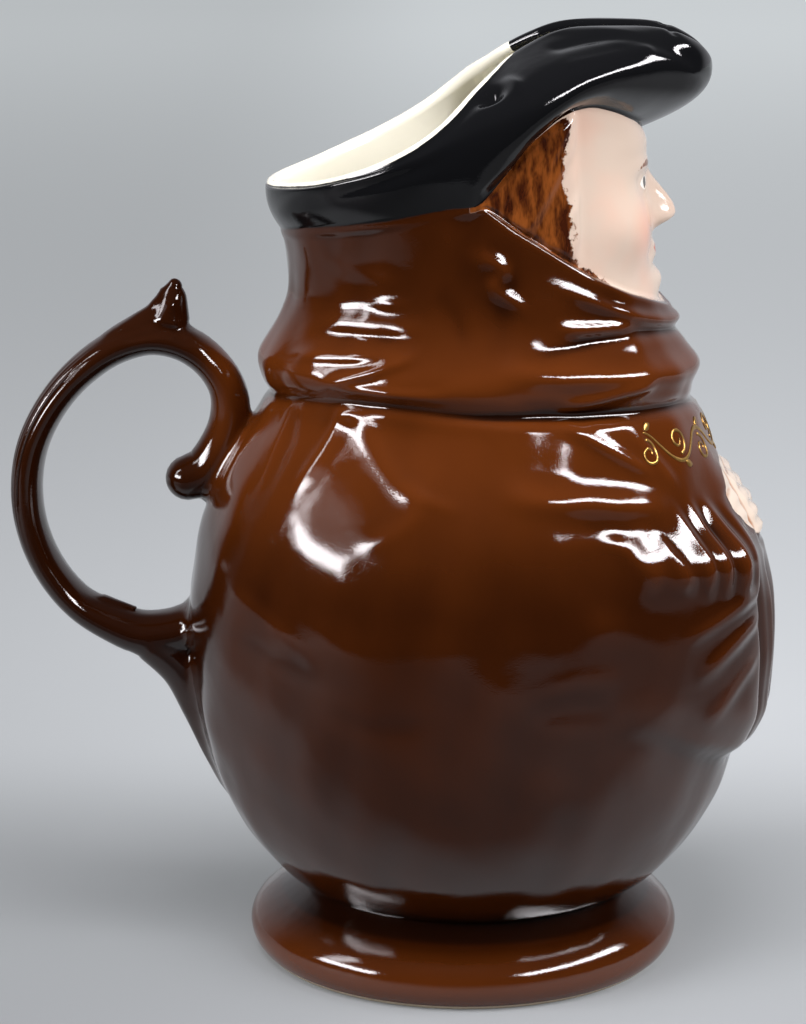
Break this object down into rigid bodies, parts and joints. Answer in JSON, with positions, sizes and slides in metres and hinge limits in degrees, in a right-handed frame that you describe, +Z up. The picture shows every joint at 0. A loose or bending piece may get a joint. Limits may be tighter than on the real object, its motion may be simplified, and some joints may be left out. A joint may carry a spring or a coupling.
{
  "type": "whisky water jug",
  "caption": "Hollow glazed ceramic water jug shaped as a stout hooded figure, open at the back of the hat, with a brim spout and a scroll handle.",
  "frame": {"origin": "middle of the footprint box, on the surface that the jug stands on", "axes": "+X towards the figure's front and the spout, the handle towards -X, +Z up"},
  "size_m": [0.1792, 0.1266, 0.219],
  "materials": {
    "glaze": "glossy brown glaze, black hat, cream inside"
  },
  "bodies": {
    "root": {"jug": "glaze"}
  },
  "joints": []
}
